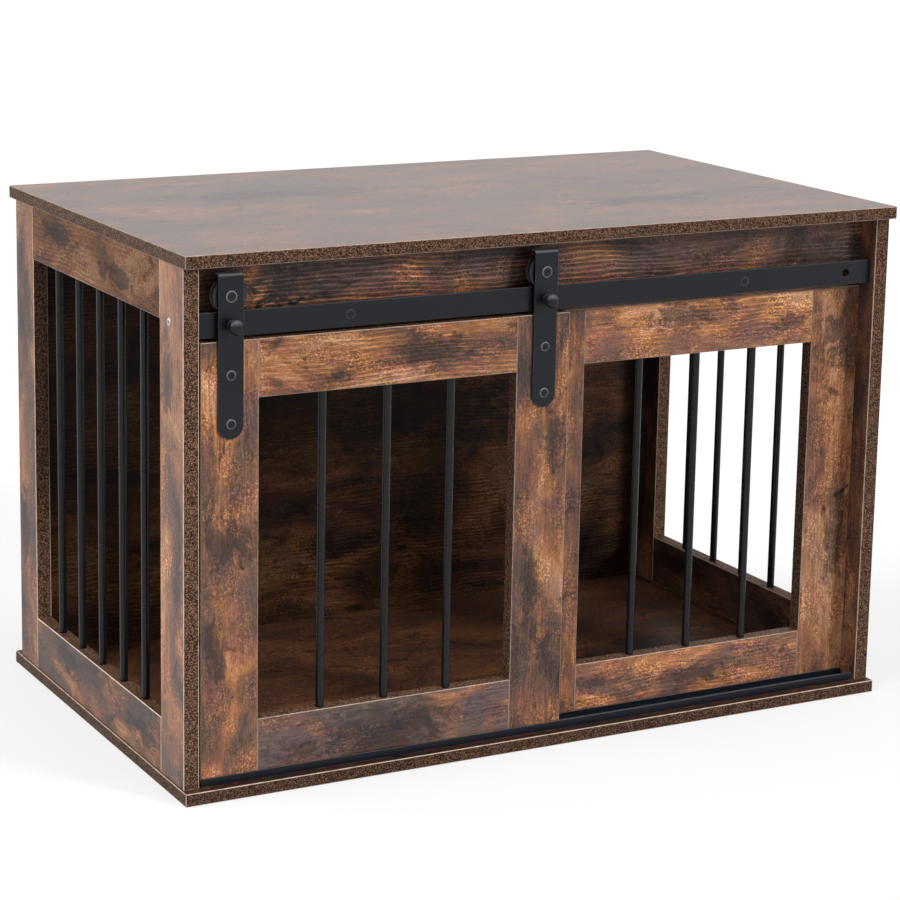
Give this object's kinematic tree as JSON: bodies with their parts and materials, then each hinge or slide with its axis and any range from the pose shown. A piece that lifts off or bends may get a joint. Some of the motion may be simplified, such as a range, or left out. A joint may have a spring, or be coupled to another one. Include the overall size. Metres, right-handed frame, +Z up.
{
  "type": "dog crate end table",
  "caption": "Dog crate that doubles as an end table: laminated board cabinet with steel bars and a barn-style door that slides along a hanging rail.",
  "frame": {"origin": "middle of the base board's underside, on the floor", "axes": "+X along the table to the right as seen from the door side, -Y out of the door side, +Z up"},
  "size_m": [1, 0.6085, 0.66],
  "materials": {
    "rustic_laminate": "satin rustic brown laminate with printed and embossed grain",
    "black_steel": "satin black powder coat",
    "black_bar": "satin black powder coat",
    "zinc_steel": "zinc plated",
    "beech_dowel": "bare, fluted",
    "black_nylon": "matt moulded",
    "bush_bronze": "sintered"
  },
  "bodies": {
    "cabinet": {"apron_board": "rustic_laminate", "apron_dowels": "beech_dowel", "apron_side_bolts": "zinc_steel", "back_panel": "rustic_laminate", "back_panel_dowels": "beech_dowel", "barrel_nuts": "zinc_steel", "base_board": "rustic_laminate", "base_screws": "zinc_steel", "bottom_track": "black_steel", "cam_bolts": "zinc_steel", "cam_locks": "zinc_steel", "hanging_rail": "black_steel", "left_bottom_rail": "rustic_laminate", "left_front_stile": "rustic_laminate", "left_rear_stile": "rustic_laminate", "left_side_bars": "black_bar", "left_top_rail": "rustic_laminate", "panel_bars": "black_bar", "panel_bottom_rail": "rustic_laminate", "panel_dowels": "beech_dowel", "panel_left_stile": "rustic_laminate", "panel_right_stile": "rustic_laminate", "panel_side_bolts": "zinc_steel", "panel_top_rail": "rustic_laminate", "rail_bolts": "black_steel", "rail_nuts": "zinc_steel", "rail_spacers": "black_steel", "right_bottom_rail": "rustic_laminate", "right_front_stile": "rustic_laminate", "right_rear_stile": "rustic_laminate", "right_side_bars": "black_bar", "right_top_rail": "rustic_laminate", "side_frame_dowels": "beech_dowel", "top_board": "rustic_laminate", "track_screws": "black_steel"},
    "door": {"door_bars": "black_bar", "door_bottom_rail": "rustic_laminate", "door_dowels": "beech_dowel", "door_left_stile": "rustic_laminate", "door_right_stile": "rustic_laminate", "door_top_rail": "rustic_laminate", "left_hanger_strap": "black_steel", "right_hanger_strap": "black_steel", "strap_bolts": "black_steel", "sleeve_nuts": "zinc_steel", "axle_bolts": "black_steel", "axle_bushes": "bush_bronze", "axle_washers": "zinc_steel", "axle_nuts": "zinc_steel"},
    "left_roller": {"left_roller": "black_nylon"},
    "right_roller": {"right_roller": "black_nylon"},
    "left_lock_knob": {"left_lock_knob": "black_steel"},
    "right_lock_knob": {"right_lock_knob": "black_steel"}
  },
  "joints": [
    {"name": "door_slide", "type": "slide", "parent": "cabinet", "child": "door", "axis": [1, 0, 0], "range_m": [0, 0.455]},
    {"name": "left_roller_spin", "type": "hinge", "parent": "door", "child": "left_roller", "pos_m": [-0.437, -0.2762, 0.607], "axis": [0, 1, 0], "continuous": true},
    {"name": "right_roller_spin", "type": "hinge", "parent": "door", "child": "right_roller", "pos_m": [-0.017, -0.2762, 0.607], "axis": [0, 1, 0], "continuous": true},
    {"name": "left_lock_slide", "type": "slide", "parent": "door", "child": "left_lock_knob", "axis": [0, 1, 0], "range_m": [0, 0.003]},
    {"name": "right_lock_slide", "type": "slide", "parent": "door", "child": "right_lock_knob", "axis": [0, 1, 0], "range_m": [0, 0.003]}
  ],
  "couplings": [
    {"joint": "left_roller_spin", "follows": "door_slide", "rad_per_m": 53.476},
    {"joint": "right_roller_spin", "follows": "door_slide", "rad_per_m": 53.476}
  ]
}
